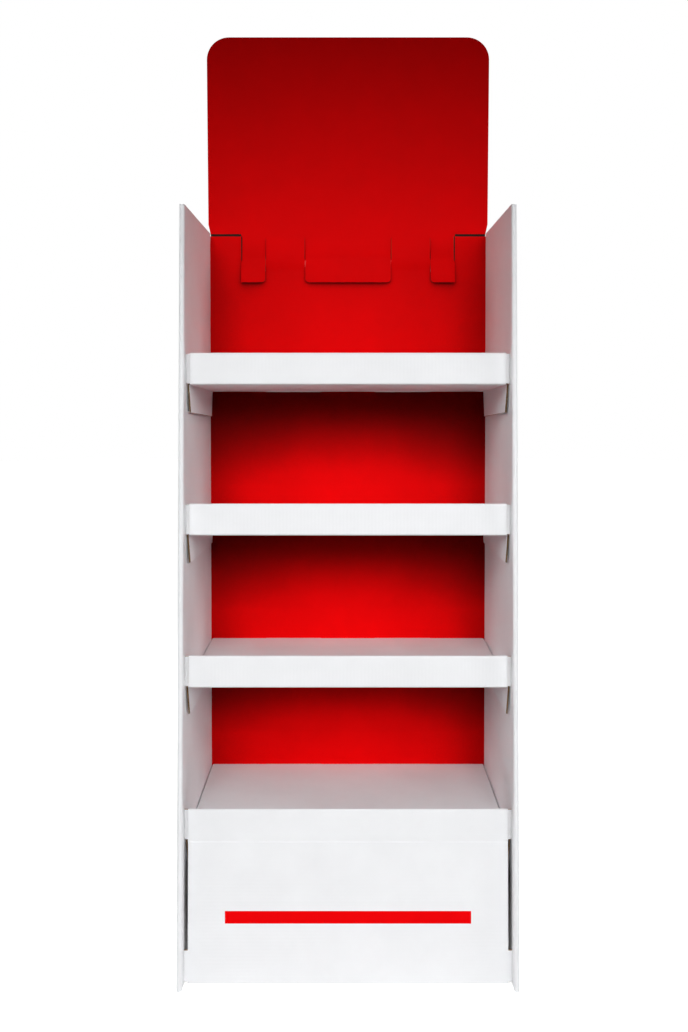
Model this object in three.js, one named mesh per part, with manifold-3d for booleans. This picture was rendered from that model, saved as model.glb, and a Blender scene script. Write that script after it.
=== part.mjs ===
// Free-standing point of sale display, folded from printed corrugated board.
// Millimetres, +Z up. The shopper stands on the -Y side, and the origin is the middle of the footprint.
import * as THREE from 'three';
import { mergeVertices } from 'three/addons/utils/BufferGeometryUtils.js';
import Module from 'manifold-3d';

const wasm = await Module();
wasm.setup();

// Board
const board = 3;
const foldRadius = 2.2;
const seat = 0.3;

// Stand
const standWidth = 600;
const baseDepth = 400;
const topDepth = 336;
const sideHeight = 1380;
const sideCavity = 3.6;

// Back panel and header card
const backHeight = 1374;
const glueFlange = 60;
const headerTop = 1790;
const headerTopOverhang = 6.1;
const headerFootOverhang = 3.6;
const headerCorner = 47;
const headerChamferWidth = 5;
const headerChamferHeight = 24;
const shoulderGap = 0.3;
const lapDepth = 50;
const tongueReach = 97;
const centreTongueWidth = 180;
const tabWidth = 84;
const sideTongueWidth = 51;
const lapCorner = 8;
const crankRise = 24;
const crankRadius = 40;

// Trays
const floorLevels = { lower: 520, middle: 790, top: 1060 };
const backDrops = { lower: 0, middle: 5, top: 13 };
const baseLevel = 250;
const lipSetback = 24;
const lipHeight = 57;
const lipEndGap = 6.9;
const lipFill = 1.2;
const floorSideGap = 1.2;
const wingDrop = 48;
const wingLean = 4;
const wingRearSlant = 41;
const wingFrontGap = 3;
const endTabHeight = 53;
const rearTabInner = 57;
const rearTabWidth = 117;

// Plinth front and its lower end tabs
const plinthGround = 1.5;
const lowTabFoot = 5;
const lowTabHeight = 54;

// Boards that stand inside the plinth
const ribSpacing = 230;
const ribFrontGap = 16;
const ribRearGap = 12;
const crossSetback = 20;
const crossSideGap = 8;

// How finely curves are cut, and how close two corners lie that are one
const curveCuts = 8;
const foldCut = 15;
const sameCorner = 1e-4;

// Places that follow from the sizes above
const rear = baseDepth / 2;
const wall = 2 * board + sideCavity;
const innerHalf = standWidth / 2 - wall;
const lipHalf = innerHalf - lipEndGap;
const floorHalf = innerHalf - floorSideGap;
const headerTopHalf = innerHalf + headerTopOverhang;
const headerFootHalf = innerHalf + headerFootOverhang;
const frontSlope = (baseDepth - topDepth) / sideHeight;
const backFront = rear - board;
const lapFront = backFront - seat;
const lapLevel = backHeight - lapDepth;

const frontEdge = (z) => -rear + frontSlope * z;

function solid(geometry) {
  const bare = geometry.index ? geometry.toNonIndexed() : geometry.clone();
  bare.deleteAttribute('normal');
  bare.deleteAttribute('uv');
  const merged = mergeVertices(bare, sameCorner);
  const mesh = new wasm.Mesh({
    numProp: 3,
    vertProperties: new Float32Array(merged.attributes.position.array),
    triVerts: new Uint32Array(merged.index.array),
  });
  return new wasm.Manifold(mesh);
}

function geometryOf(manifold) {
  const mesh = manifold.getMesh();
  const geometry = new THREE.BufferGeometry();
  geometry.setAttribute('position', new THREE.BufferAttribute(mesh.vertProperties, 3));
  geometry.setIndex(new THREE.BufferAttribute(mesh.triVerts, 1));
  return geometry;
}

function block(x0, x1, y0, y1, z0, z1) {
  const geometry = new THREE.BoxGeometry(x1 - x0, y1 - y0, z1 - z0);
  geometry.translate((x0 + x1) / 2, (y0 + y1) / 2, (z0 + z1) / 2);
  return geometry;
}

function extruded(shape, length) {
  return new THREE.ExtrudeGeometry(shape, { depth: length, bevelEnabled: false, curveSegments: curveCuts });
}

// A section drawn in y and z, run across the stand from x0 to x1
function acrossX(shape, x0, x1) {
  const axes = new THREE.Matrix4().makeBasis(
    new THREE.Vector3(0, 1, 0), new THREE.Vector3(0, 0, 1), new THREE.Vector3(1, 0, 0));
  return extruded(shape, x1 - x0).applyMatrix4(axes).translate(x0, 0, 0);
}

// A section drawn in x and z, run from front to back between y0 and y1
function alongY(shape, y0, y1) {
  return extruded(shape, y1 - y0).rotateX(Math.PI / 2).translate(0, y1, 0);
}

function outline(points) {
  return new THREE.Shape(points.map(([a, b]) => new THREE.Vector2(a, b)));
}

// The section of one folded board: its middle line bent to a radius at each fold
function foldedBoard(points, radius = foldRadius) {
  const line = points.map(([a, b]) => new THREE.Vector2(a, b));
  const middle = [line[0]];
  for (let i = 1; i < line.length - 1; i += 1) {
    const before = line[i - 1].clone().sub(line[i]).normalize();
    const after = line[i + 1].clone().sub(line[i]).normalize();
    const half = Math.acos(THREE.MathUtils.clamp(before.dot(after), -1, 1)) / 2;
    const setback = radius / Math.tan(half);
    const bisector = before.clone().add(after).normalize();
    const centre = line[i].clone().addScaledVector(bisector, radius / Math.sin(half));
    const start = line[i].clone().addScaledVector(before, setback).sub(centre);
    const turn = (2 * half - Math.PI) * Math.sign(before.cross(after));
    const steps = Math.max(2, Math.round(Math.abs(turn) / THREE.MathUtils.degToRad(foldCut)));
    for (let k = 0; k <= steps; k += 1) {
      middle.push(start.clone().rotateAround(new THREE.Vector2(), turn * k / steps).add(centre));
    }
  }
  middle.push(line[line.length - 1]);
  const near = [];
  const far = [];
  middle.forEach((point, i) => {
    const ahead = middle[Math.min(i + 1, middle.length - 1)];
    const behind = middle[Math.max(i - 1, 0)];
    const along = ahead.clone().sub(behind).normalize();
    const normal = new THREE.Vector2(-along.y, along.x);
    near.push(point.clone().addScaledVector(normal, board / 2));
    far.push(point.clone().addScaledVector(normal, -board / 2));
  });
  return new THREE.Shape(near.concat(far.reverse()));
}

function roundedOutline(corners) {
  const shape = new THREE.Shape();
  corners.forEach(([a, b, radius = 0], i) => {
    const here = new THREE.Vector2(a, b);
    const last = corners[(i + corners.length - 1) % corners.length];
    const next = corners[(i + 1) % corners.length];
    const back = new THREE.Vector2(last[0], last[1]).sub(here).normalize();
    const on = new THREE.Vector2(next[0], next[1]).sub(here).normalize();
    const start = here.clone().addScaledVector(back, radius);
    const end = here.clone().addScaledVector(on, radius);
    if (i === 0) shape.moveTo(start.x, start.y);
    else shape.lineTo(start.x, start.y);
    if (radius > 0) shape.quadraticCurveTo(here.x, here.y, end.x, end.y);
  });
  shape.closePath();
  return shape;
}

const mirrored = (points) => points.map(([a, b, r]) => [-a, b, r]).reverse();

// Where a tray sits: behind the sloping front edge, with its floor dropping a little towards the back
function trayPlace(level, drop) {
  const reach = lapFront - (frontEdge(level) + lipSetback);
  return new THREE.Matrix4()
    .makeTranslation(0, frontEdge(level) + lipSetback, level)
    .multiply(new THREE.Matrix4().makeRotationX(-Math.atan(drop / reach)));
}

const lipDepth = 2 * board + lipFill;
const tabFrom = board + lipFill;
const tabHalf = standWidth / 2 - board - seat;
const tabFoot = (lipHeight - endTabHeight) / 2;

// The two end tabs of a lip, as long as the wall is thick
function endTabs(clearance) {
  return block(
    -tabHalf - clearance, tabHalf + clearance,
    tabFrom - clearance, lipDepth + clearance,
    tabFoot - clearance, tabFoot + endTabHeight + clearance);
}

// The two tabs at the back of a tray floor
function rearTab(side, reach, clearance) {
  const inner = side * rearTabInner;
  const outer = side * (rearTabInner + rearTabWidth);
  return block(
    Math.min(inner, outer) - clearance, Math.max(inner, outer) + clearance,
    reach - board * 2, reach + board + seat,
    -clearance, board + clearance);
}

const trays = [
  { name: 'lower_tray', level: floorLevels.lower, drop: backDrops.lower },
  { name: 'middle_tray', level: floorLevels.middle, drop: backDrops.middle },
  { name: 'top_tray', level: floorLevels.top, drop: backDrops.top },
];
const baseTray = { level: baseLevel, drop: 0 };

const reachOf = (tray) => lapFront - (frontEdge(tray.level) + lipSetback) - seat;

// Floor edge and the wing that hangs from it, on the right-hand side
function wing(reach) {
  const lean = THREE.MathUtils.degToRad(wingLean);
  const foldX = floorHalf - board / 2;
  const section = foldedBoard([
    [lipHalf / 2, board / 2],
    [foldX, board / 2],
    [foldX - wingDrop * Math.sin(lean), board - wingDrop * Math.cos(lean)],
  ]);
  const start = lipDepth + wingFrontGap;
  const strip = solid(alongY(section, start, reach));
  const corner = outline([
    [reach + board, -foldRadius],
    [reach - wingRearSlant, -wingDrop - board],
    [reach + board, -wingDrop - board],
  ]);
  return strip.subtract(solid(acrossX(corner, 0, standWidth)));
}

function mirrorX(manifold) {
  return manifold.mirror([1, 0, 0]);
}

// A tray from one blank: the folded floor and lip, the lip's end tabs, the hanging wings and two rear tabs
function trayOf(points, reach) {
  const section = foldedBoard(points, (lipDepth - board) / 2);
  const right = wing(reach);
  return solid(acrossX(section, -lipHalf, lipHalf))
    .add(solid(endTabs(0)))
    .add(right)
    .add(mirrorX(right))
    .add(solid(rearTab(1, reach, 0)))
    .add(solid(rearTab(-1, reach, 0)));
}

// Shelf tray: the board rises at the front, rolls back over itself and ends on the floor
function shelfTray(tray) {
  const reach = reachOf(tray);
  const mid = board / 2;
  return trayOf([
    [reach, mid],
    [mid, mid],
    [mid, lipHeight - mid],
    [lipDepth - mid, lipHeight - mid],
    [lipDepth - mid, board + seat],
  ], reach);
}

// What leans with the front edge of the side panels
function leaning(geometry) {
  const shear = new THREE.Matrix4().makeShear(0, 0, 0, 0, 0, frontSlope);
  return geometry.applyMatrix4(shear);
}

// The two end tabs at the foot of the plinth front
function lowTabs(clearance) {
  const foot = lowTabFoot - baseLevel;
  return leaning(block(
    -tabHalf - clearance, tabHalf + clearance, -clearance, board + clearance,
    foot - clearance, foot + lowTabHeight + clearance));
}

// Base tray: the lip's inner board rises from the floor, and its outer board runs down as the plinth front
function plinthTray(tray) {
  const reach = reachOf(tray);
  const mid = board / 2;
  const ground = plinthGround - tray.level;
  const base = trayOf([
    [reach, mid],
    [lipDepth - mid, mid],
    [lipDepth - mid, lipHeight - mid],
    [mid, lipHeight - mid],
    [mid, 0],
    [mid + frontSlope * ground, ground],
  ], reach);
  return base.add(solid(lowTabs(0)));
}

function placed(manifold, matrix) {
  return solid(geometryOf(manifold).applyMatrix4(matrix));
}

// Side panel: one board folded round the front edge into a double wall, slotted for the lip tabs
function sidePanel() {
  const outer = standWidth / 2 - board / 2;
  const inner = innerHalf + board / 2;
  const nose = -rear + board / 2;
  const section = foldedBoard([
    [inner, rear + baseDepth],
    [inner, nose],
    [outer, nose],
    [outer, rear + baseDepth],
  ], (wall - board) / 2);
  let panel = solid(leaning(extruded(section, sideHeight)));
  panel = panel.intersect(solid(block(0, standWidth, -baseDepth, rear, 0, sideHeight)));
  panel = panel.subtract(solid(block(0, innerHalf + board + seat, lapFront, baseDepth, -board, sideHeight + board)));
  for (const tray of [baseTray, ...trays]) {
    panel = panel.subtract(placed(solid(endTabs(seat)), trayPlace(tray.level, tray.drop)));
  }
  return panel.subtract(placed(solid(lowTabs(seat)), trayPlace(baseTray.level, 0)));
}

const lapOuter = centreTongueWidth / 2 + tabWidth + sideTongueWidth;
const lapInner = centreTongueWidth / 2 + tabWidth;
const lapCentre = centreTongueWidth / 2;

// The section of a board that steps forward by its own thickness to pass its neighbour
function crankedBoard(fromZ, toZ, levelZ, stepUp) {
  const flat = (backFront + rear) / 2;
  const forward = flat - board - seat;
  const low = stepUp ? levelZ - crankRise : levelZ;
  const high = stepUp ? levelZ : levelZ + crankRise;
  const points = stepUp
    ? [[flat, fromZ], [flat, low], [forward, high], [forward, toZ]]
    : [[forward, fromZ], [forward, low], [flat, high], [flat, toZ]];
  return foldedBoard(points, crankRadius);
}

// Back panel: red face, glue flanges in the side walls' cavities, tray slots, and two cranked top tabs
function backPanel() {
  const half = tabHalf;
  const mid = board / 2;
  const section = foldedBoard([
    [-half + mid, rear - glueFlange],
    [-half + mid, rear - mid],
    [half - mid, rear - mid],
    [half - mid, rear - glueFlange],
  ]);
  let panel = solid(extruded(section, backHeight));
  const notches = [[-lapOuter, -lapInner], [-lapCentre, lapCentre], [lapInner, lapOuter]];
  for (const [x0, x1] of notches) {
    panel = panel.subtract(solid(block(x0 - seat, x1 + seat, lapFront - board, baseDepth, lapLevel, headerTop)));
  }
  const slitFoot = lapLevel - crankRise;
  const tabFloor = slitFoot - crankRise;
  for (const start of [-lapInner, lapCentre]) {
    const slits = block(start, start + tabWidth, 0, baseDepth, slitFoot, headerTop);
    const left = start + seat;
    const right = start + tabWidth - seat;
    const tab = acrossX(crankedBoard(tabFloor, backHeight, lapLevel, true), left, right);
    const face = roundedOutline([
      [left, tabFloor], [right, tabFloor], [right, backHeight, lapCorner], [left, backHeight, lapCorner],
    ]);
    panel = panel.subtract(solid(slits)).add(solid(tab).intersect(solid(alongY(face, 0, baseDepth))));
  }
  for (const tray of [baseTray, ...trays]) {
    for (const side of [-1, 1]) {
      const slot = placed(solid(rearTab(side, reachOf(tray), seat)), trayPlace(tray.level, tray.drop));
      panel = panel.subtract(slot);
    }
  }
  return panel;
}

// Header card: rounded top corners, and three tongues that step forward over the back panel
function headerCard() {
  const foot = backHeight + shoulderGap;
  const tip = lapLevel - (tongueReach - lapDepth);
  const right = [
    [headerFootHalf, foot + headerChamferHeight],
    [headerTopHalf, headerTop, headerCorner],
  ];
  const face = roundedOutline([
    [lapOuter, foot], [headerFootHalf - headerChamferWidth, foot],
    ...right, ...mirrored(right),
    [-headerFootHalf + headerChamferWidth, foot], [-lapOuter, foot],
    [-lapOuter, lapLevel], [-lapInner - seat, lapLevel],
    [-lapInner - seat, lapLevel + seat], [-lapCentre + seat, lapLevel + seat],
    [-lapCentre + seat, lapLevel], [lapCentre - seat, lapLevel],
    [lapCentre - seat, lapLevel + seat], [lapInner + seat, lapLevel + seat],
    [lapInner + seat, lapLevel], [lapOuter, lapLevel],
  ]);
  let card = solid(alongY(face, backFront, rear));
  const stepTop = lapLevel + crankRise;
  const tongueTop = stepTop + crankRise;
  const tongues = [
    [-lapOuter, -lapInner, 0, lapCorner],
    [-lapCentre, lapCentre, lapCorner, lapCorner],
    [lapInner, lapOuter, lapCorner, 0],
  ];
  for (const [x0, x1, leftCorner, rightCorner] of tongues) {
    const hole = block(x0, x1, 0, baseDepth, 0, stepTop);
    const left = x0 + seat;
    const right = x1 - seat;
    const strip = acrossX(crankedBoard(tip, tongueTop, lapLevel, false), left, right);
    const shape = roundedOutline([
      [left, tip, leftCorner], [right, tip, rightCorner], [right, tongueTop], [left, tongueTop],
    ]);
    card = card.subtract(solid(hole)).add(solid(strip).intersect(solid(alongY(shape, 0, baseDepth))));
  }
  return card;
}

const ribTop = baseLevel - seat;
const ribFront = (z) => frontEdge(z) + lipSetback + lipDepth + ribFrontGap;
const crossFront = crossSetback - board / 2;
const crossBack = crossSetback + board / 2;

// Boards on edge under the base tray, halved into each other
function plinthRib(x) {
  const shape = outline([
    [ribFront(ribTop), 0], [lapFront - ribRearGap, 0], [lapFront - ribRearGap, ribTop], [ribFront(ribTop), ribTop],
  ]);
  const halving = block(x - board, x + board, crossFront - seat, crossBack + seat, ribTop / 2 - seat, baseLevel);
  return solid(acrossX(shape, x - board / 2, x + board / 2)).subtract(solid(halving));
}

function crossRib() {
  const half = innerHalf - crossSideGap;
  let rib = solid(block(-half, half, crossFront, crossBack, 0, ribTop));
  const wingRoom = floorHalf - wingDrop * Math.tan(THREE.MathUtils.degToRad(wingLean)) - 2 * board;
  for (const side of [-1, 1]) {
    const x = side * ribSpacing / 2;
    rib = rib.subtract(solid(block(
      x - board / 2 - seat, x + board / 2 + seat, 0, baseDepth / 2, -board, ribTop / 2)));
    const inner = side * wingRoom;
    const outer = side * standWidth / 2;
    rib = rib.subtract(solid(block(
      Math.min(inner, outer), Math.max(inner, outer), 0, baseDepth / 2, baseLevel - wingDrop - board, baseLevel)));
  }
  return rib;
}

const white = new THREE.MeshStandardMaterial({ color: '#eef0f1', roughness: 0.62, metalness: 0 });
const red = new THREE.MeshStandardMaterial({ color: '#e3060f', roughness: 0.5, metalness: 0 });
const kraft = new THREE.MeshStandardMaterial({ color: '#b08a5e', roughness: 0.85, metalness: 0 });

const display = new THREE.Group();

function addPiece(name, manifold, material) {
  const mesh = new THREE.Mesh(geometryOf(manifold), material);
  mesh.name = name;
  display.add(mesh);
  return mesh;
}

addPiece('side_panel_right', sidePanel(), white);
addPiece('side_panel_left', mirrorX(sidePanel()), white);
addPiece('back_panel', backPanel(), red);
addPiece('header_card', headerCard(), red);
for (const tray of trays) {
  const mesh = addPiece(tray.name, shelfTray(tray), white);
  mesh.applyMatrix4(trayPlace(tray.level, tray.drop));
}
const base = addPiece('base_tray', plinthTray(baseTray), white);
base.applyMatrix4(trayPlace(baseTray.level, baseTray.drop));
addPiece('plinth_rib_left', plinthRib(-ribSpacing / 2), kraft);
addPiece('plinth_rib_right', plinthRib(ribSpacing / 2), kraft);
addPiece('plinth_cross_rib', crossRib(), kraft);

export default display;
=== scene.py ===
"""Free-standing point of sale display: corrugated boards, printed liners, plain studio."""
import math

import bmesh
import bpy
from mathutils import Matrix, Vector


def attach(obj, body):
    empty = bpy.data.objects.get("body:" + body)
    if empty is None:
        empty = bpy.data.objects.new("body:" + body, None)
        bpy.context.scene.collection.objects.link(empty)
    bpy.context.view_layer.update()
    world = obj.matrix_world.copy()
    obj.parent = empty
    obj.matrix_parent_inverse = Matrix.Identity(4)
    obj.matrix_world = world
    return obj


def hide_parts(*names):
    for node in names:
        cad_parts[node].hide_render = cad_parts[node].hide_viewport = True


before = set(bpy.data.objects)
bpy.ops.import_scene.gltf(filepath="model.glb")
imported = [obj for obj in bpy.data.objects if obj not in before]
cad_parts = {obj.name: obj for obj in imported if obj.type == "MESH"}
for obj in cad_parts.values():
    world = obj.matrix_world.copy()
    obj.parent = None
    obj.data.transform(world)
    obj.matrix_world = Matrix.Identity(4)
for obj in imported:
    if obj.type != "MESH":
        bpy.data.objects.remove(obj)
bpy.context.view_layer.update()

MM = 0.001

# Board
BOARD = 3.0
LINER = 0.32
FLUTE_PITCH = 6.35
FLUTE_STEPS = 8
FOLD_RADIUS = 2.2
FOLD_TURN = math.pi / 14
SEAT = 0.3
WELD = 0.002

# Stand, as in the solids. The grooves of the header joint, the tabs' inset, the tips' stand-off, the deeper
# wings with their sag and the crease are finer than the solids
WIDTH = 600.0
DEPTH = 400.0
TOP_DEPTH = 336.0
SIDE_HEIGHT = 1380.0
CAVITY = 3.6
BACK_HEIGHT = 1374.0
GLUE_FLANGE = 60.0
HEADER_TOP = 1790.0
HEADER_TOP_OVERHANG = 6.1
HEADER_FOOT_OVERHANG = 3.6
HEADER_CORNER = 47.0
HEADER_CHAMFER_WIDTH = 5.0
HEADER_CHAMFER_HEIGHT = 24.0
SHOULDER_GAP = 0.3
SHOULDER_GROOVE = 4.6
TONGUE_GROOVE = 2.2
SLIT_DEPTH = 2.4
SLIT_OVERLAP = 1.0
TAB_INSET = 1.2
LAP_DEPTH = 50.0
TONGUE_REACH = 97.0
CENTRE_TONGUE = 180.0
TAB_WIDTH = 84.0
SIDE_TONGUE = 51.0
LAP_CORNER = 8.0
CRANK = 24.0
TIP_STAND_OFF = 3.0
TRAYS = (("lower_tray", 520.0, 0.0), ("middle_tray", 790.0, 5.0), ("top_tray", 1060.0, 13.0))
BASE_LEVEL = 250.0
LIP_SETBACK = 24.0
LIP_HEIGHT = 57.0
LIP_END_GAP = 6.9
LIP_FILL = 1.2
FLOOR_SIDE_GAP = 1.2
WING_DROP = 53.0
WING_SAG = 0.06
WING_LEAN = 4.0
WING_SLANT = 41.0
WING_GAP = 3.0
BASE_WING_RADIUS = 1.8
END_TAB_HEIGHT = 53.0
REAR_TAB_INNER = 57.0
REAR_TAB_WIDTH = 117.0
PLINTH_GROUND = 1.5
LOW_TAB_FOOT = 5.0
LOW_TAB_HEIGHT = 54.0
CREASE_ABOVE = 0.7
CREASE_BELOW = 2.2
CREASE_SQUASH = 0.9
BAR_HALF = 218.0
BAR_LOW = 106.0
BAR_HEIGHT = 22.0

# Mesh steps
SIDE_STEP = 120.0
TONGUE_STEP = 8.0
CRANK_STEPS = 8
CORNER_STEPS = 7
HEADER_CORNER_STEPS = 14

# Paper: the scales of its clouds and scuffs are per metre, its fibres are in mm. They are drawn coarser
# than real fibres, so that they show
CLOUDS = 14.0
CLOUD_EDGES = (0.3, 0.7)
SCUFFS = 30.0
SCUFF_EDGES = (0.66, 0.76)
SCUFF_MOST = 0.35
FIBRE = 1.6
FIBRE_SHARE = 0.35
LINER_BUMP = 0.35
LINER_RELIEF = 0.06
GLOSS_SPREAD = 0.06
KRAFT_FIBRE = 2.0
KRAFT_STRETCH = 0.25
KRAFT_EDGES = (0.35, 0.68)
KRAFT_BUMP = 0.4
KRAFT_RELIEF = 0.08
PAPER_IOR = 1.45

# Painted shade under a shelf, which darkens the red ink's colour: how far the shelf reaches, where it lies
# from the red face, and how open the sky above is where the painted shade starts and where it is deepest
SHADE_REACH = 200.0
SHADE_FROM = {"X": 0.0, "Y": -0.5, "Z": 0.866}
SHADE_DEEPEST = 0.1
SHADE_START = 0.58
SHADE_SAMPLES = 8

# Plies of a board, each with a face, a back and a rim material
OUTER, MEDIUM, INNER_PLY, EXTRA, BAR = 0, 3, 6, 9, 12

# Camera, fitted to the corners of the stand
CAMERA_Y = -1.9207
CAMERA_Z = 1.0469
CAMERA_PITCH = 1.36
FOCAL_PX = 1001.0
IMAGE_W = 688
IMAGE_H = 1032
AXIS_PX = (348.0, 415.5)
SENSOR = 36.0

# Floor, in metres: its glow rises to white away from the stand, so that it meets the surroundings
FLOOR_RADIUS = 14.0
FLOOR_SEGMENTS = 64
FLOOR_WHITE = 0.78
FLOOR_NEAR = 0.7
FLOOR_FAR = 1.5

# Soft spots: turn from the front, height and cone in degrees, power in watts. The front ones are low and
# narrow, so that the shelves shade the back panel and the header darkens to its top
SPOT_AIM = (0.0, 0.0, 0.45)
SPOT_DISTANCE = 3.6
SPOT_RADIUS = 0.38
SPOT_BLEND = 1.0
ROOM_FILL = 0.02
SOFT_SPOTS = (
    ("far_left_spot", -68, 22, 62.0, 51.0),
    ("left_spot", -32, 22, 62.0, 51.0),
    ("middle_left_low_spot", -12, 21, 30.0, 51.0),
    ("middle_left_high_spot", -12, 33, 97.0, 51.0),
    ("middle_right_low_spot", 12, 21, 108.0, 51.0),
    ("middle_right_high_spot", 12, 33, 40.0, 51.0),
    ("right_spot", 32, 21, 74.0, 51.0),
    ("far_right_spot", 68, 22, 76.0, 51.0),
    ("rear_left_spot", -145, 25, 190.0, 90.0),
    ("rear_right_spot", 145, 25, 190.0, 90.0),
)

REAR = DEPTH / 2
WALL = 2 * BOARD + CAVITY
INNER = WIDTH / 2 - WALL
SLOPE = (DEPTH - TOP_DEPTH) / SIDE_HEIGHT
BACK_FRONT = REAR - BOARD
LAP_FRONT = BACK_FRONT - SEAT
LAP_LEVEL = BACK_HEIGHT - LAP_DEPTH
LIP_HALF = INNER - LIP_END_GAP
FLOOR_HALF = INNER - FLOOR_SIDE_GAP
LIP_DEPTH = 2 * BOARD + LIP_FILL
TAB_HALF = WIDTH / 2 - BOARD - SEAT
TAB_FOOT = (LIP_HEIGHT - END_TAB_HEIGHT) / 2
LAP_CENTRE = CENTRE_TONGUE / 2
LAP_INNER = LAP_CENTRE + TAB_WIDTH
LAP_OUTER = LAP_INNER + SIDE_TONGUE
HALF = BOARD / 2
LIP_RADIUS = HALF + LIP_FILL / 2
BACK_FLAT = BACK_FRONT + HALF
WING_FOLD = FLOOR_HALF - HALF
WING_FOOT = (WING_FOLD - WING_DROP * math.sin(math.radians(WING_LEAN)),
             BOARD - WING_DROP * math.cos(math.radians(WING_LEAN)))
TRAY_LEVELS = [(BASE_LEVEL, 0.0)] + [(level, drop) for _, level, drop in TRAYS]
REAR_TABS = (REAR_TAB_INNER, -REAR_TAB_INNER - REAR_TAB_WIDTH)


def front_edge(z):
    """Where the side panels' leaning front edge is at this height."""
    return -REAR + SLOPE * z


def colour(code):
    """An sRGB hex colour as linear RGBA."""
    def channel(pair):
        value = int(pair, 16) / 255
        return value / 12.92 if value <= 0.04045 else ((value + 0.055) / 1.055) ** 2.4
    return (channel(code[1:3]), channel(code[3:5]), channel(code[5:7]), 1.0)


def add_node(tree, kind, settings=None, links=None):
    """A node with its settings, on inputs or on itself, and the outputs that feed its inputs."""
    node = tree.nodes.new(kind)
    for name, value in (settings or {}).items():
        if isinstance(name, int) or name in node.inputs:
            node.inputs[name].default_value = value
        else:
            setattr(node, name, value)
    for name, source in (links or {}).items():
        tree.links.new(source, node.inputs[name])
    return node


def new_material(name):
    """A material and its empty node tree."""
    material = bpy.data.materials.new(name)
    material.use_nodes = True
    tree = material.node_tree
    tree.nodes.clear()
    return material, tree


def set_ramp(node, edges, codes):
    """Puts two hex colours at the two edges of a colour ramp."""
    for stop, edge, code in zip(node.color_ramp.elements, edges, codes):
        stop.position = edge
        stop.color = colour(code)


# A liner is a thin sheet glued to the flutes: the flutes telegraph through it as a faint washboard,
# its fibres give a fine mottle, and handling leaves pale scuffs. Where the shade share is below 1, painted
# shade darkens the colour to that share close under a shelf
def liner_material(name, base, cloudy, scuff, roughness, specular, painted_shelf_shade=1.0):
    material, tree = new_material(name)
    place = add_node(tree, "ShaderNodeTexCoord")
    uv = add_node(tree, "ShaderNodeSeparateXYZ", links={"Vector": place.outputs["UV"]})
    cloud = add_node(tree, "ShaderNodeTexNoise", {"Scale": CLOUDS, "Detail": 4.0, "Roughness": 0.55},
                     {"Vector": place.outputs["Object"]})
    fibre = add_node(tree, "ShaderNodeTexNoise", {"Scale": 1 / (FIBRE * MM), "Detail": 3.0, "Roughness": 0.7},
                     {"Vector": place.outputs["Object"]})
    streak = add_node(tree, "ShaderNodeTexNoise", {"Scale": SCUFFS, "Detail": 6.0, "Roughness": 0.7},
                      {"Vector": place.outputs["Object"]})
    tint = add_node(tree, "ShaderNodeValToRGB", links={"Fac": cloud.outputs["Fac"]})
    set_ramp(tint, CLOUD_EDGES, (cloudy, base))
    worn = add_node(tree, "ShaderNodeMapRange",
                    {"From Min": SCUFF_EDGES[0], "From Max": SCUFF_EDGES[1], "To Max": SCUFF_MOST},
                    {"Value": streak.outputs["Fac"]})
    surface = add_node(tree, "ShaderNodeMix", {"data_type": "RGBA", "B": colour(scuff)},
                       {"Factor": worn.outputs["Result"], "A": tint.outputs["Color"]})
    # Painted shade: an occlusion node, looking up and forward, darkens the colour close under a shelf
    if painted_shelf_shade < 1.0:
        above = add_node(tree, "ShaderNodeCombineXYZ", SHADE_FROM)
        near = add_node(tree, "ShaderNodeAmbientOcclusion",
                        {"samples": SHADE_SAMPLES, "Distance": SHADE_REACH * MM},
                        {"Normal": above.outputs["Vector"]})
        deep = add_node(tree, "ShaderNodeMapRange",
                        {"From Min": SHADE_DEEPEST, "From Max": SHADE_START, "To Min": painted_shelf_shade},
                        {"Value": near.outputs["AO"]})
        surface = add_node(tree, "ShaderNodeMix",
                           {"data_type": "RGBA", "blend_type": "MULTIPLY", "Factor": 1.0},
                           {"A": surface.outputs["Result"], "B": deep.outputs["Result"]})
    turns = add_node(tree, "ShaderNodeMath", {"operation": "MULTIPLY", 1: 2 * math.pi / (FLUTE_PITCH * MM)},
                     {0: uv.outputs["X"]})
    washboard = add_node(tree, "ShaderNodeMath", {"operation": "COSINE"}, {0: turns.outputs["Value"]})
    height = add_node(tree, "ShaderNodeMath", {"operation": "MULTIPLY_ADD", 1: FIBRE_SHARE},
                      {0: fibre.outputs["Fac"], 2: washboard.outputs["Value"]})
    bump = add_node(tree, "ShaderNodeBump", {"Strength": LINER_BUMP, "Distance": LINER_RELIEF * MM},
                    {"Height": height.outputs["Value"]})
    gloss = add_node(tree, "ShaderNodeMapRange",
                     {"To Min": roughness - GLOSS_SPREAD, "To Max": roughness + GLOSS_SPREAD},
                     {"Value": cloud.outputs["Fac"]})
    shader = add_node(tree, "ShaderNodeBsdfPrincipled", {"IOR": PAPER_IOR, "Specular IOR Level": specular},
                      {"Base Color": surface.outputs["Result"], "Roughness": gloss.outputs["Result"],
                       "Normal": bump.outputs["Normal"]})
    add_node(tree, "ShaderNodeOutputMaterial", links={"Surface": shader.outputs["BSDF"]})
    return material


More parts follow.
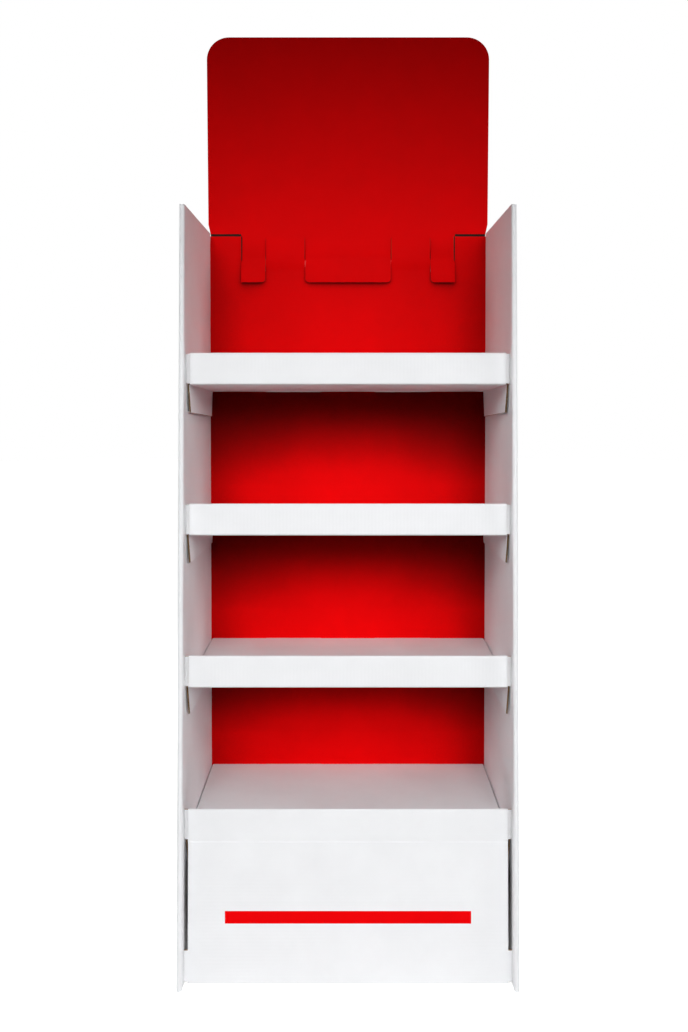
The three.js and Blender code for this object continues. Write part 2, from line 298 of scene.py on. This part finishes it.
# Kraft paper shows long brown fibres and no coating
def kraft_material(name, light, dark, roughness):
    material, tree = new_material(name)
    place = add_node(tree, "ShaderNodeTexCoord")
    stretch = add_node(tree, "ShaderNodeMapping", {"Scale": (1.0, 1.0, KRAFT_STRETCH)},
                       {"Vector": place.outputs["Object"]})
    fibre = add_node(tree, "ShaderNodeTexNoise",
                     {"Scale": 1 / (KRAFT_FIBRE * MM), "Detail": 5.0, "Roughness": 0.75},
                     {"Vector": stretch.outputs["Vector"]})
    tint = add_node(tree, "ShaderNodeValToRGB", links={"Fac": fibre.outputs["Fac"]})
    set_ramp(tint, KRAFT_EDGES, (dark, light))
    bump = add_node(tree, "ShaderNodeBump", {"Strength": KRAFT_BUMP, "Distance": KRAFT_RELIEF * MM},
                    {"Height": fibre.outputs["Fac"]})
    shader = add_node(tree, "ShaderNodeBsdfPrincipled", {"Roughness": roughness, "IOR": PAPER_IOR},
                      {"Base Color": tint.outputs["Color"], "Normal": bump.outputs["Normal"]})
    add_node(tree, "ShaderNodeOutputMaterial", links={"Surface": shader.outputs["BSDF"]})
    return material


# Clay-coated white-top liner, smooth and matt
white_liner = liner_material("clay_coated_white_liner", "#F1F2F4", "#EDEEF0", "#E6E6E6", 0.6, 0.3)
# White-top liner flood printed in red with a thin matt varnish, deep and matt, with painted shade that
# darkens it to maroon under a shelf
red_liner = liner_material("red_printed_liner", "#F00004", "#EA0003", "#EE1012", 0.62, 0.04, 0.13)
# Bleached inner liner, whiter than the coated face, seen where a tab turns its inner side out
bleached_liner = liner_material("bleached_inner_liner", "#FCFCFB", "#F8F8F6", "#F0F0EE", 0.7, 0.2)
# Near-black kraft sheets deep in the header joint's slits: painted shade, standing in for the shadow there
painted_shade_sheet = kraft_material("painted_shade_in_slit", "#22140C", "#120A06", 0.95)
# Kraft inner faces and fluting medium, brown and fibrous, seen at cut edges
kraft_liner = kraft_material("kraft_liner", "#B58B5C", "#94693D", 0.85)
kraft_medium = kraft_material("kraft_fluting_medium", "#9A744A", "#6F4E2E", 0.9)
# The die cut crushes and darkens the cut paper
cut_edge = kraft_material("die_cut_board_edge", "#C9B08F", "#7A5B3C", 0.9)
# The cut edges of the printed boards are dark brown: partly the cut board's own colour, partly painted shade
# for the dark lines along the slits
printed_edge_and_shade = kraft_material("die_cut_printed_edge_and_shade", "#4E2A20", "#2A140E", 0.9)


class Bend:
    """The middle line of a board, bent to a radius at each fold."""

    def __init__(self, points, radius=FOLD_RADIUS):
        line = [Vector(p) for p in points]
        middle = [line[0]]
        for before, here, after in zip(line, line[1:], line[2:]):
            back = (before - here).normalized()
            on = (after - here).normalized()
            half = back.angle(on) / 2
            centre = here + (back + on).normalized() * (radius / math.sin(half))
            start = here + back * (radius / math.tan(half)) - centre
            turn = (math.pi - 2 * half) * math.copysign(1.0, back.cross(on))
            steps = max(2, round(abs(turn) / FOLD_TURN))
            for k in range(steps + 1):
                middle.append(centre + Matrix.Rotation(-turn * k / steps, 2) @ start)
        middle.append(line[-1])
        self.points = middle
        self.marks = [0.0]
        for a, b in zip(middle, middle[1:]):
            self.marks.append(self.marks[-1] + (b - a).length)
        self.normals = []
        for i, point in enumerate(middle):
            along = (middle[min(i + 1, len(middle) - 1)] - middle[max(i - 1, 0)]).normalized()
            self.normals.append(Vector((-along.y, along.x)))

    def at(self, u, offset):
        """The point at a length u along the line and an offset to its side."""
        for i in range(1, len(self.marks)):
            if u <= self.marks[i] or i == len(self.marks) - 1:
                span = self.marks[i] - self.marks[i - 1]
                t = (u - self.marks[i - 1]) / span
                point = self.points[i - 1].lerp(self.points[i], t)
                normal = self.normals[i - 1].lerp(self.normals[i], t).normalized()
                return point + normal * offset


def spread(marks, step):
    """The marks, with even steps between them no longer than the step."""
    out = []
    for a, b in zip(marks, marks[1:]):
        count = max(1, math.ceil((b - a) / step))
        out += [a + (b - a) * k / count for k in range(count)]
    return out + [marks[-1]]


def add_ply(mesh, across, along, place, offset, slot, flip, holes, patch=None):
    """One ply of a board: a grid over the sheet, with each vertex put in its place. A hole leaves its faces
    out, and a patch gives them the bar's material."""
    sheet_uv = mesh.loops.layers.uv.verify()
    nu, ns = len(across), len(along)
    made = bmesh.ops.create_grid(mesh, x_segments=nu - 1, y_segments=ns - 1, size=0.5)["verts"]
    flat = {}
    for vert in made:
        i = round((vert.co.x + 0.5) * (nu - 1))
        j = round((vert.co.y + 0.5) * (ns - 1))
        flat[vert] = (across[i], along[j])
    faces = {face for vert in made for face in vert.link_faces}
    for face in faces:
        face.material_index = slot
        for loop in face.loops:
            u, s = flat[loop.vert]
            loop[sheet_uv].uv = (u * MM, s * MM)
    lost = []
    for face in faces:
        u = sum(flat[v][0] for v in face.verts) / len(face.verts)
        s = sum(flat[v][1] for v in face.verts) / len(face.verts)
        if any(u0 < u < u1 and s0 < s < s1 for u0, u1, s0, s1 in holes):
            lost.append(face)
        if patch and patch[0] < u < patch[1] and patch[2] < s < patch[3]:
            face.material_index = BAR
    for vert, (u, s) in flat.items():
        depth = offset(u) if callable(offset) else offset
        vert.co = Vector(place(u, s, depth)) * MM
    if flip:
        bmesh.ops.reverse_faces(mesh, faces=list(faces))
    if lost:
        bmesh.ops.delete(mesh, geom=lost, context="FACES")


def add_board(mesh, across, along, place, holes=(), flip=False, face=OUTER, patch=None):
    """Two liners and the fluting medium between them, over one sheet."""
    cuts = list(holes) + ([patch] if patch else [])
    cuts_u = sorted(set(list(across) + [v for cut in cuts for v in cut[:2]]))
    cuts_s = sorted(set(list(along) + [v for cut in cuts for v in cut[2:]]))
    wave = (BOARD - 2 * LINER) / 2 - LINER / 2

    def fluting(u):
        return wave * math.sin(2 * math.pi * u / FLUTE_PITCH) + LINER / 2

    fine = spread(cuts_u, FLUTE_PITCH / FLUTE_STEPS)
    add_ply(mesh, cuts_u, cuts_s, place, HALF, face, flip, holes, patch)
    add_ply(mesh, cuts_u, cuts_s, place, -HALF, INNER_PLY, not flip, holes)
    add_ply(mesh, fine, cuts_s, place, fluting, MEDIUM, flip, holes)


def new_piece(name, mesh, outer, inner, slot, *nodes, extra=(), rim=cut_edge):
    """Gives the plies their thickness and hands the board over to the frame."""
    bmesh.ops.remove_doubles(mesh, verts=mesh.verts, dist=WELD * MM)
    data = bpy.data.meshes.new(name)
    mesh.to_mesh(data)
    mesh.free()
    plies = [(outer, kraft_liner), (kraft_medium, kraft_medium), (inner, kraft_liner)]
    plies += [(material, kraft_liner) for material in extra]
    for face, back in plies:
        for material in (face, back, rim):
            data.materials.append(material)
    piece = bpy.data.objects.new(name, data)
    bpy.context.scene.collection.objects.link(piece)
    ply = piece.modifiers.new("ply", "SOLIDIFY")
    ply.thickness = LINER * MM
    ply.offset = -1.0
    ply.material_offset = 1
    ply.material_offset_rim = 2
    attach(piece, "root")
    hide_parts(*nodes)
    return piece


def side_panel(side, name):
    """One board folded round the front edge into a double wall; the flutes stand upright."""
    bend = Bend([(INNER + HALF, LAP_FRONT), (INNER + HALF, -REAR + HALF),
                 (WIDTH / 2 - HALF, -REAR + HALF), (WIDTH / 2 - HALF, REAR)], (WALL - BOARD) / 2)

    def place(u, s, offset):
        x, y = bend.at(u, -offset)
        lean = SLOPE * s * (1.0 if y < 0 else max(0.0, 1 - y / REAR))
        return (side * x, y + lean, s)

    holes = []
    slots = [(level + TAB_FOOT, END_TAB_HEIGHT, LIP_DEPTH - BOARD) for level, _ in TRAY_LEVELS]
    slots.append((LOW_TAB_FOOT, LOW_TAB_HEIGHT, 0.0))
    for foot, height, setback in slots:
        near = LAP_FRONT - (-REAR + LIP_SETBACK + setback) + SEAT
        holes.append((near - BOARD - 2 * SEAT, near, foot - SEAT, foot + height + SEAT))
    mesh = bmesh.new()
    add_board(mesh, bend.marks, spread([0.0, SIDE_HEIGHT], SIDE_STEP), place, holes, flip=side < 0)
    return new_piece(name + "_board", mesh, white_liner, white_liner, "white_board", name)


def tray_place(level, drop):
    """A tray's matrix, tilted back by its drop, and its reach from the lip to the back panel."""
    front = front_edge(level) + LIP_SETBACK
    tilt = -math.atan(drop / (LAP_FRONT - front))
    matrix = Matrix.Translation((0, front, level)) @ Matrix.Rotation(tilt, 4, "X")
    return matrix, LAP_FRONT - front - SEAT


def wing_place(reach, z, s):
    """How far down a wing this height is, and how far back its slanted rear edge lets it reach."""
    below = max(0.0, min(1.0, -z / WING_DROP))
    start = LIP_DEPTH + WING_GAP
    return below, start + (reach - WING_SLANT * below - start) * s / reach


def shelf_tray(name, level, drop):
    """Floor with hanging wings, rolled lip, end tabs and rear tabs; the flutes run front to back."""
    matrix, reach = tray_place(level, drop)
    bend = Bend([(-WING_FOOT[0], WING_FOOT[1]), (-WING_FOLD, HALF), (WING_FOLD, HALF), WING_FOOT])

    def floor(u, s, offset):
        x, z = bend.at(u, offset)
        below, y = wing_place(reach, z, s)
        return matrix @ Vector((x, y, z * (1 + WING_SAG * below * s / reach)))

    mesh = bmesh.new()
    add_board(mesh, bend.marks, [0.0, reach], floor)
    middle = bend.marks[-1] / 2

    def flat(u, s, offset):
        return matrix @ Vector((u - middle, s, HALF + offset))

    edge = middle - LIP_HALF
    add_board(mesh, [edge, bend.marks[-1] - edge], [LIP_DEPTH - HALF, LIP_DEPTH + WING_GAP], flat)
    for inner in REAR_TABS:
        tab_ends = [middle + inner, middle + inner + REAR_TAB_WIDTH]
        add_board(mesh, tab_ends, [reach, reach + BOARD + SEAT], flat)
    roll = Bend([(LIP_DEPTH, HALF), (HALF, HALF), (HALF, LIP_HEIGHT - HALF),
                 (LIP_DEPTH - HALF, LIP_HEIGHT - HALF), (LIP_DEPTH - HALF, BOARD + SEAT)], LIP_RADIUS)

    def lip(u, s, offset):
        y, z = roll.at(s, offset)
        return matrix @ Vector((u, y, z))

    add_board(mesh, [-LIP_HALF, LIP_HALF], roll.marks, lip)

    def tab(u, s, offset):
        return matrix @ Vector((u, LIP_DEPTH - HALF + offset, s))

    for side in (-1, 1):
        ends = sorted((side * LIP_HALF, side * TAB_HALF))
        add_board(mesh, ends, [TAB_FOOT, TAB_FOOT + END_TAB_HEIGHT], tab, flip=True, face=EXTRA)
    return new_piece(name + "_board", mesh, white_liner, white_liner, "white_board", name,
                     extra=[bleached_liner])


def base_tray():
    """Floor, rolled lip and plinth front from one blank; the flutes run from side to side."""
    matrix, reach = tray_place(BASE_LEVEL, 0.0)
    foot = PLINTH_GROUND - BASE_LEVEL
    roll = Bend([(reach, HALF), (LIP_DEPTH - HALF, HALF), (LIP_DEPTH - HALF, LIP_HEIGHT - HALF),
                 (HALF, LIP_HEIGHT - HALF), (HALF, 0.0), (HALF + SLOPE * foot, foot)], LIP_RADIUS)
    crease = roll.marks[-1] - math.hypot(SLOPE * foot, foot)

    def place(u, s, offset):
        fade = CREASE_BELOW if u > crease else -CREASE_ABOVE
        squash = CREASE_SQUASH * max(0.0, 1 - (u - crease) / fade)
        y, z = roll.at(u, -offset * (1 - squash) if offset > 0 else -offset)
        return matrix @ Vector((s, y, z))

    mesh = bmesh.new()
    rows = sorted(roll.marks + [crease - CREASE_ABOVE, crease, crease + CREASE_BELOW])
    bar_foot = roll.marks[-1] - (BAR_LOW - PLINTH_GROUND)
    bar = (bar_foot - BAR_HEIGHT, bar_foot, -BAR_HALF, BAR_HALF)
    add_board(mesh, rows, [-LIP_HALF, LIP_HALF], place, patch=bar)
    bend = Bend([(LIP_HALF, HALF), (WING_FOLD, HALF), WING_FOOT], BASE_WING_RADIUS)
    for side in (-1, 1):
        def wing(u, s, offset, side=side):
            x, z = bend.at(s, offset)
            return matrix @ Vector((side * x, wing_place(reach, z, u)[1], z))

        add_board(mesh, [0.0, reach], bend.marks, wing, flip=side > 0)

        def tab(u, s, offset, setback=LIP_DEPTH - HALF, lean_by=0.0):
            return matrix @ Vector((s, setback + lean_by * u + offset, u))

        def low_tab(u, s, offset):
            return tab(u, s, offset, HALF, SLOPE)

        ends = sorted((side * LIP_HALF, side * TAB_HALF))
        add_board(mesh, [TAB_FOOT, TAB_FOOT + END_TAB_HEIGHT], ends, tab, face=EXTRA)
        low_foot = LOW_TAB_FOOT - BASE_LEVEL
        add_board(mesh, [low_foot, low_foot + LOW_TAB_HEIGHT], ends, low_tab, face=EXTRA)

        def rear(u, s, offset):
            return matrix @ Vector((s, u, HALF + offset))

        tab_ends = sorted((side * REAR_TAB_INNER, side * (REAR_TAB_INNER + REAR_TAB_WIDTH)))
        add_board(mesh, [reach, reach + BOARD + SEAT], tab_ends, rear)
    return new_piece("base_tray_board", mesh, white_liner, white_liner, "white_board", "base_tray",
                     extra=[bleached_liner, red_liner])


def crank_offset(z, low, high):
    """How far a tab has stepped over a board's thickness at this height, in a smooth crank."""
    t = max(0.0, min(1.0, (z - low) / (high - low)))
    return (BOARD + SEAT) * t * t * (3 - 2 * t)


def corner_cut(x, x0, x1, radius_left, radius_right):
    """How far a rounded end is pulled in at this place across it."""
    for edge, radius in ((x - x0, radius_left), (x1 - x, radius_right)):
        if radius and edge < radius:
            return radius - math.sqrt(max(0.0, radius ** 2 - (radius - edge) ** 2))
    return 0.0


def corner_marks(x0, x1, radius_left, radius_right, steps=CORNER_STEPS):
    """Places across a rounded end, closer together near its corners."""
    marks = [x0, x1]
    for k in range(1, steps + 1):
        bite = 1 - math.cos(math.pi / 2 * k / steps)
        if radius_left:
            marks.append(x0 + radius_left * bite)
        if radius_right:
            marks.append(x1 - radius_right * bite)
    return sorted(set(marks))


def back_panel():
    """Red face, glue flanges, tray slots, and two top tabs that step over the header card."""
    bend = Bend([(-TAB_HALF + HALF, REAR - GLUE_FLANGE), (-TAB_HALF + HALF, BACK_FLAT),
                 (TAB_HALF - HALF, BACK_FLAT), (TAB_HALF - HALF, REAR - GLUE_FLANGE)])
    middle = bend.marks[-1] / 2
    notch_floor = LAP_LEVEL - CRANK

    def place(u, s, offset):
        x, y = bend.at(u, -offset)
        return (x, y, s)

    holes = []
    for level, drop in TRAY_LEVELS:
        for inner in REAR_TABS:
            holes.append((middle + inner - SEAT, middle + inner + REAR_TAB_WIDTH + SEAT,
                          level - drop - SEAT, level - drop + BOARD + SEAT))
    mesh = bmesh.new()
    add_board(mesh, bend.marks, [0.0, notch_floor], place, holes)
    columns = [(0.0, middle - LAP_OUTER - SEAT, BACK_HEIGHT),
               (middle + LAP_OUTER + SEAT, bend.marks[-1], BACK_HEIGHT),
               (middle - LAP_OUTER - SEAT, middle - LAP_INNER, LAP_LEVEL),
               (middle - LAP_CENTRE, middle + LAP_CENTRE, LAP_LEVEL),
               (middle + LAP_INNER, middle + LAP_OUTER + SEAT, LAP_LEVEL)]
    for u0, u1, top in columns:
        inside = [u for u in bend.marks if u0 < u < u1]
        add_board(mesh, [u0] + inside + [u1], [notch_floor, top], place)
    for side in (-1, 1):
        x0, x1 = sorted((side * LAP_CENTRE, side * LAP_INNER))
        x0, x1 = x0 + SEAT, x1 - SEAT

        def tab(u, s, offset, x0=x0, x1=x1):
            z = s
            inset = TAB_INSET if s > LAP_LEVEL else 0.0
            if s > LAP_LEVEL:
                reach = (s - LAP_LEVEL) / (BACK_HEIGHT - LAP_LEVEL)
                z = s - reach * corner_cut(u, x0, x1, LAP_CORNER, LAP_CORNER)
            x = min(max(u, x0 + inset), x1 - inset)
            return (x, BACK_FLAT - offset - crank_offset(z, notch_floor, LAP_LEVEL), z)

        rows = spread([notch_floor, LAP_LEVEL], CRANK / CRANK_STEPS) + [LAP_LEVEL + BOARD, BACK_HEIGHT]
        add_board(mesh, corner_marks(x0, x1, LAP_CORNER, LAP_CORNER), rows, tab)
    return new_piece("back_panel_board", mesh, red_liner, white_liner, "red_board", "back_panel",
                     rim=printed_edge_and_shade)


def header_card():
    """Rounded red card whose three tongues step forward over the back panel."""
    foot = BACK_HEIGHT + SHOULDER_GAP
    tip = LAP_LEVEL - (TONGUE_REACH - LAP_DEPTH)
    step_top = LAP_LEVEL + CRANK
    half = INNER + HEADER_TOP_OVERHANG
    foot_half = INNER + HEADER_FOOT_OVERHANG
    knee = foot + HEADER_CHAMFER_HEIGHT

    def half_at(z):
        if z < knee:
            return foot_half - HEADER_CHAMFER_WIDTH * (1 - (z - foot) / HEADER_CHAMFER_HEIGHT)
        return foot_half + (half - foot_half) * (z - knee) / (HEADER_TOP - knee)

    def card(u, s, offset):
        z = s
        if s > knee:
            cut = corner_cut(u, -half, half, HEADER_CORNER, HEADER_CORNER)
            z = s - (s - knee) / (HEADER_TOP - knee) * cut
        x = u
        if abs(u) > LAP_OUTER:
            outer = (abs(u) - LAP_OUTER) / (half - LAP_OUTER)
            x = math.copysign(LAP_OUTER + outer * (half_at(z) - LAP_OUTER), u)
            if s == foot and offset > HALF - SLIT_DEPTH:
                z += SHOULDER_GROOVE
        return (x, BACK_FLAT - offset, z)

    mesh = bmesh.new()
    across = corner_marks(-half, half, HEADER_CORNER, HEADER_CORNER, HEADER_CORNER_STEPS)
    across += [side * x for side in (-1, 1) for x in (LAP_CENTRE, LAP_INNER, LAP_OUTER, LAP_OUTER + SEAT)]
    add_board(mesh, sorted(set(across)), [foot, knee, HEADER_TOP], card)
    tongues = ((-LAP_OUTER, -LAP_INNER, 0.0, LAP_CORNER),
               (-LAP_CENTRE, LAP_CENTRE, LAP_CORNER, LAP_CORNER),
               (LAP_INNER, LAP_OUTER, LAP_CORNER, 0.0))
    for x0, x1, left, right in tongues:
        def tongue(u, s, offset, x0=x0, x1=x1, left=left, right=right):
            below = max(0.0, LAP_LEVEL - s) / (LAP_LEVEL - tip)
            z = s + below * corner_cut(u, x0, x1, left, right)
            forward = BOARD + SEAT - crank_offset(z, LAP_LEVEL, step_top) + TIP_STAND_OFF * below ** 2
            inset = 0.0
            if s >= LAP_LEVEL:
                inset = math.copysign(max(0.0, abs(u) - LAP_OUTER + TONGUE_GROOVE), u)
            return (u - inset, BACK_FLAT - offset - forward, z)

        rows = spread([tip, LAP_LEVEL], TONGUE_STEP)[:-1]
        rows += spread([LAP_LEVEL, step_top], CRANK / CRANK_STEPS) + [foot]
        add_board(mesh, corner_marks(x0, x1, left, right), rows, tongue)

    def upright(u, s, offset):
        return (u, BACK_FLAT - offset, s)

    for side in (-1, 1):
        add_board(mesh, sorted((side * LAP_CENTRE, side * LAP_INNER)), [LAP_LEVEL, foot], upright)
    # Near-black sheets deep under the shoulders and beside the tongues: painted shade in the grooves
    deep = HALF - SLIT_DEPTH
    for side in (-1, 1):
        under_shoulder = sorted((side * LAP_OUTER, side * (foot_half - HEADER_CHAMFER_WIDTH)))
        beside_tongue = sorted((side * (LAP_OUTER - TONGUE_GROOVE - SLIT_OVERLAP),
                                side * (LAP_OUTER + 2 * SEAT)))
        rows = [foot, foot + SHOULDER_GROOVE + SLIT_OVERLAP]
        add_ply(mesh, under_shoulder, rows, upright, deep, EXTRA, False, ())
        add_ply(mesh, beside_tongue, [LAP_LEVEL, foot + SLIT_OVERLAP], upright, deep, EXTRA, False, ())
    return new_piece("header_card_board", mesh, red_liner, white_liner, "red_board", "header_card",
                     extra=[painted_shade_sheet], rim=printed_edge_and_shade)


def plinth_boards():
    """The boards on edge under the base tray keep their CAD shape and show bare kraft."""
    for name in ("plinth_rib_left", "plinth_rib_right", "plinth_cross_rib"):
        node = bpy.data.objects.get(name)
        if node:
            node.data.materials.clear()
            node.data.materials.append(kraft_liner)


def background_rays(tree):
    """1 where the camera, a mirror image or glass sees the background, 0 where it lights the stand."""
    rays = add_node(tree, "ShaderNodeLightPath")
    seen = add_node(tree, "ShaderNodeMath", {"operation": "MAXIMUM"},
                    {0: rays.outputs["Is Camera Ray"], 1: rays.outputs["Is Glossy Ray"]})
    seen = add_node(tree, "ShaderNodeMath", {"operation": "MAXIMUM"},
                    {0: seen.outputs["Value"], 1: rays.outputs["Is Transmission Ray"]})
    return seen.outputs["Value"]


def studio():
    """Pale floor, a bank of soft spots in front and two behind, white surroundings."""
    mesh = bmesh.new()
    bmesh.ops.create_circle(mesh, cap_ends=True, segments=FLOOR_SEGMENTS, radius=FLOOR_RADIUS)
    data = bpy.data.meshes.new("studio_floor")
    mesh.to_mesh(data)
    mesh.free()
    floor = bpy.data.objects.new("studio_floor", data)
    bpy.context.scene.collection.objects.link(floor)
    material, tree = new_material("studio_floor_white")
    place = add_node(tree, "ShaderNodeTexCoord")
    away = add_node(tree, "ShaderNodeVectorMath", {"operation": "LENGTH"},
                    {"Vector": place.outputs["Object"]})
    white = add_node(tree, "ShaderNodeMapRange",
                     {"From Min": FLOOR_NEAR, "From Max": FLOOR_FAR, "To Min": FLOOR_WHITE},
                     {"Value": away.outputs["Value"]})
    strength = add_node(tree, "ShaderNodeMath", {"operation": "MULTIPLY"},
                        {0: background_rays(tree), 1: white.outputs["Result"]})
    matt = add_node(tree, "ShaderNodeBsdfDiffuse", {"Color": colour("#F4F4F4")})
    glow = add_node(tree, "ShaderNodeEmission", {"Color": colour("#FFFFFF")},
                    {"Strength": strength.outputs["Value"]})
    both = add_node(tree, "ShaderNodeAddShader",
                    links={0: matt.outputs["BSDF"], 1: glow.outputs["Emission"]})
    add_node(tree, "ShaderNodeOutputMaterial", links={"Surface": both.outputs["Shader"]})
    data.materials.append(material)

    world = bpy.data.worlds.new("studio")
    bpy.context.scene.world = world
    world.use_nodes = True
    tree = world.node_tree
    tree.nodes.clear()
    strength = add_node(tree, "ShaderNodeMapRange", {"To Min": ROOM_FILL}, {"Value": background_rays(tree)})
    shade = add_node(tree, "ShaderNodeBackground", {"Color": colour("#FFFFFF")},
                     {"Strength": strength.outputs["Result"]})
    add_node(tree, "ShaderNodeOutputWorld", links={"Surface": shade.outputs["Background"]})

    for name, turn, height, power, cone in SOFT_SPOTS:
        turn, height = math.radians(turn), math.radians(height)
        light = bpy.data.lights.new(name, "SPOT")
        light.shadow_soft_size = SPOT_RADIUS
        light.spot_size = math.radians(cone)
        light.spot_blend = SPOT_BLEND
        light.energy = power
        away = Vector((math.cos(height) * math.sin(turn),
                       -math.cos(height) * math.cos(turn),
                       math.sin(height)))
        lamp = bpy.data.objects.new(name, light)
        lamp.location = Vector(SPOT_AIM) + away * SPOT_DISTANCE
        lamp.rotation_euler = (-away).to_track_quat("-Z", "Y").to_euler()
        bpy.context.scene.collection.objects.link(lamp)


def camera():
    """The photograph's camera, whose shift only frames the stand as the photograph does."""
    data = bpy.data.cameras.new("photo_camera")
    data.sensor_fit = "VERTICAL"
    data.sensor_height = SENSOR
    data.lens = FOCAL_PX / IMAGE_H * SENSOR
    data.shift_x = (IMAGE_W / 2 - AXIS_PX[0]) / IMAGE_H
    data.shift_y = (AXIS_PX[1] - IMAGE_H / 2) / IMAGE_H
    eye = bpy.data.objects.new("photo_camera", data)
    eye.location = (0.0, CAMERA_Y, CAMERA_Z)
    eye.rotation_euler = (math.radians(90 - CAMERA_PITCH), 0.0, 0.0)
    bpy.context.scene.collection.objects.link(eye)
    bpy.context.scene.camera = eye


side_panel(-1, "side_panel_left")
side_panel(1, "side_panel_right")
back_panel()
header_card()
for tray_name, tray_level, tray_drop in TRAYS:
    shelf_tray(tray_name, tray_level, tray_drop)
base_tray()
plinth_boards()
studio()
camera()
bpy.context.scene.view_settings.view_transform = "Standard"
